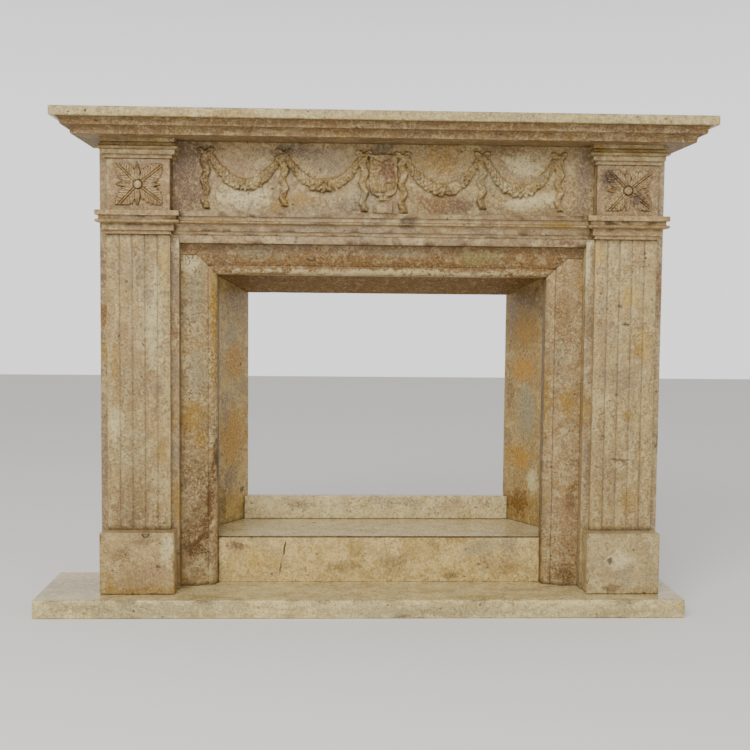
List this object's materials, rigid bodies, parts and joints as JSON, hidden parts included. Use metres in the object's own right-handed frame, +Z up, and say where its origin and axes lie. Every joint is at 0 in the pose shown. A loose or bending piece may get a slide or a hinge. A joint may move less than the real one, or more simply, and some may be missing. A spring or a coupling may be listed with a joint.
{
  "type": "fireplace mantel",
  "caption": "Classical travertine fireplace mantel with reeded pilasters, carved rosettes, a frieze of swags and an urn, a splayed firebox lining and a hearth slab.",
  "frame": {"origin": "on the underside of the hearth slab, in the plane of the wall face, on the middle line of the fire opening", "axes": "+Z up, +X along the shelf to the right as seen from the front, -Y out of the wall towards the room"},
  "size_m": [1.738, 0.504, 1.294],
  "materials": {
    "light_travertine": "polished, with open pits and veins",
    "mottled_travertine": "polished, with open pits and veins",
    "carved_travertine": "polished, with open pits and veins",
    "dark_travertine": "polished, with open pits and veins",
    "ochre_travertine": "polished, with open pits and veins"
  },
  "bodies": {
    "root": {"hearth_slab": "light_travertine", "shelf_slab": "light_travertine", "floor_riser": "light_travertine", "firebox_floor": "light_travertine", "back_upstand": "light_travertine", "pier_left": "mottled_travertine", "pier_right": "mottled_travertine", "shaft_left": "mottled_travertine", "shaft_right": "mottled_travertine", "plinth_left": "mottled_travertine", "plinth_right": "mottled_travertine", "cornice": "mottled_travertine", "architrave": "mottled_travertine", "necking_left": "mottled_travertine", "necking_right": "mottled_travertine", "capital_left": "mottled_travertine", "capital_right": "mottled_travertine", "frieze_panel": "carved_travertine", "corner_block_left": "carved_travertine", "corner_block_right": "carved_travertine", "frame_leg_left": "dark_travertine", "frame_leg_right": "dark_travertine", "frame_header": "dark_travertine", "soffit": "dark_travertine", "cheek_left": "ochre_travertine", "cheek_right": "ochre_travertine"}
  },
  "joints": []
}
